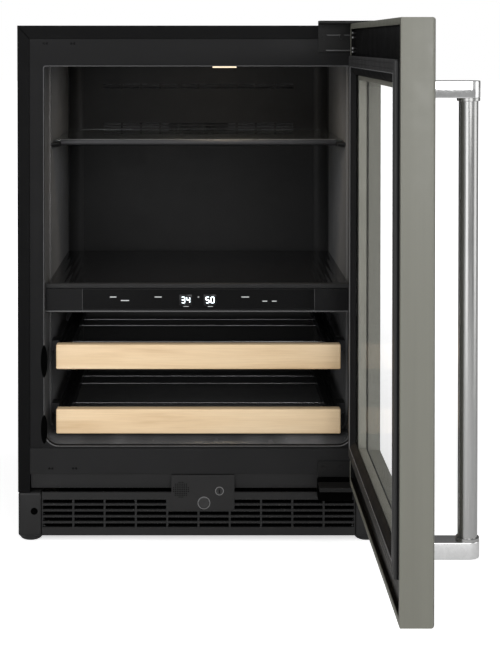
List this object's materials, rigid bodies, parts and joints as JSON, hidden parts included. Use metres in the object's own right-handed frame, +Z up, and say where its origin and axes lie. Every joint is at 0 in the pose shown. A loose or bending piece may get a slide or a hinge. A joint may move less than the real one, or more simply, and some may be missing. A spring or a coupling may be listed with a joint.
{
  "type": "wine cooler",
  "caption": "Undercounter wine and beverage cooler with a hinged glass door, bar handle, pull-out wood-front wine racks, glass shelf, control panel and vented toe grille.",
  "frame": {"origin": "centre of the base pan's underside, 12 mm above the floor", "axes": "+X to the viewer's right, -Y out of the front, +Z up; the door is stored open at a right angle"},
  "size_m": [0.661, 1.202, 0.8746],
  "materials": {
    "black_enamel": "semi-gloss black enamel",
    "galvanised_steel": "galvanised",
    "black_rubber": "matt",
    "foam": "rigid foam, matt",
    "liner_plastic": "satin black moulding",
    "frame_plastic": "satin black",
    "grille_plastic": "fine textured black",
    "button_plastic": "satin",
    "zinc": "zinc plated",
    "smoked_glass": "smoked, polished",
    "clear_glass": "polished",
    "display": "backlit digits",
    "dark_trim": "satin",
    "slide_steel": "black zinc",
    "rack_steel": "satin black",
    "chrome_wire": "polished",
    "wood": "clear-coated light wood",
    "fin_aluminium": "mill",
    "motor_plastic": "matt",
    "lamp_lens": "frosted",
    "hinge_steel": "satin black",
    "door_paint": "satin grey-olive",
    "door_frame_plastic": "satin black",
    "gasket_rubber": "soft matt",
    "pane_glass": "polished",
    "spacer_metal": "black anodised",
    "bush_plastic": "acetal",
    "handle_steel": "fine brushed",
    "handle_chrome": "polished"
  },
  "bodies": {
    "cabinet": {"side_panel_left": "black_enamel", "side_panel_right": "black_enamel", "top_panel": "black_enamel", "rear_panel": "galvanised_steel", "machine_cover": "galvanised_steel", "cord_gland": "black_rubber", "base_pan": "galvanised_steel", "insulation": "foam", "liner": "liner_plastic", "evaporator_cover": "liner_plastic", "face_frame": "frame_plastic", "lower_face_panel": "frame_plastic", "lower_trim": "frame_plastic", "toe_grille": "grille_plastic", "toe_boots": "grille_plastic", "grille_centre_plate": "grille_plastic", "levelling_feet": "galvanised_steel", "control_housing": "frame_plastic", "control_glass": "smoked_glass", "display_modules": "display", "zone_divider": "liner_plastic", "divider_shelf": "smoked_glass", "divider_trim": "frame_plastic", "shelf_ledges": "liner_plastic", "rack_slide_cases": "slide_steel", "evaporator_coil": "fin_aluminium", "evaporator_fan_motor": "motor_plastic", "compressor": "black_enamel", "condenser": "fin_aluminium", "condenser_fan_motor": "motor_plastic", "drain_pan": "motor_plastic", "control_board_box": "motor_plastic", "ceiling_light": "lamp_lens", "lower_hinge_bracket": "hinge_steel", "upper_hinge_bracket": "hinge_steel", "hinge_pins": "zinc", "hinge_screws": "zinc"},
    "door": {"door_skin": "door_paint", "door_core": "foam", "door_inner_frame": "door_frame_plastic", "door_gasket": "gasket_rubber", "door_panes": "pane_glass", "glass_spacer": "spacer_metal", "hinge_bushes": "bush_plastic", "handle_bar": "handle_steel", "handle_brackets": "handle_chrome"},
    "upper_rack": {"upper_rack_front": "wood", "upper_rack_frame": "rack_steel", "upper_rack_rods": "chrome_wire"},
    "upper_rack_middle": {"upper_rack_slide_middles": "slide_steel"},
    "lower_rack": {"lower_rack_front": "wood", "lower_rack_frame": "rack_steel", "lower_rack_rods": "chrome_wire"},
    "lower_rack_middle": {"lower_rack_slide_middles": "slide_steel"},
    "shelf": {"glass_shelf": "clear_glass", "shelf_trim": "dark_trim"},
    "evaporator_fan": {"evaporator_fan_rotor": "motor_plastic"},
    "condenser_fan": {"condenser_fan_rotor": "motor_plastic"},
    "lock": {"lock_cylinder": "zinc"},
    "button": {"power_button": "button_plastic"}
  },
  "joints": [
    {"name": "door_hinge", "type": "hinge", "parent": "cabinet", "child": "door", "pos_m": [0.2825, -0.3265, 0], "axis": [0, 0, 1], "range_deg": [-90, 25]},
    {"name": "upper_rack_slide", "type": "slide", "parent": "cabinet", "child": "upper_rack", "axis": [0, -1, 0], "range_m": [0, 0.36]},
    {"name": "upper_rack_middle_slide", "type": "slide", "parent": "cabinet", "child": "upper_rack_middle", "axis": [0, -1, 0], "range_m": [0, 0.18]},
    {"name": "lower_rack_slide", "type": "slide", "parent": "cabinet", "child": "lower_rack", "axis": [0, -1, 0], "range_m": [0, 0.36]},
    {"name": "lower_rack_middle_slide", "type": "slide", "parent": "cabinet", "child": "lower_rack_middle", "axis": [0, -1, 0], "range_m": [0, 0.18]},
    {"name": "shelf_slide", "type": "slide", "parent": "cabinet", "child": "shelf", "axis": [0, -1, 0], "range_m": [0, 0.14]},
    {"name": "evaporator_fan_spin", "type": "hinge", "parent": "cabinet", "child": "evaporator_fan", "pos_m": [0, 0.185, 0.66], "axis": [0, 1, 0], "continuous": true},
    {"name": "condenser_fan_spin", "type": "hinge", "parent": "cabinet", "child": "condenser_fan", "pos_m": [-0.04, -0.135, 0.062], "axis": [0, 1, 0], "continuous": true},
    {"name": "lock_turn", "type": "hinge", "parent": "cabinet", "child": "lock", "pos_m": [0.0353, -0.285, 0.0737], "axis": [0, -1, 0], "range_deg": [0, 90]},
    {"name": "button_press", "type": "slide", "parent": "cabinet", "child": "button", "axis": [0, 1, 0], "range_m": [0, 0.0015], "stiffness_N_per_m": 400, "springref_m": -0.001}
  ],
  "couplings": [
    {"joint": "upper_rack_middle_slide", "follows": "upper_rack_slide", "ratio": 0.5},
    {"joint": "lower_rack_middle_slide", "follows": "lower_rack_slide", "ratio": 0.5}
  ]
}
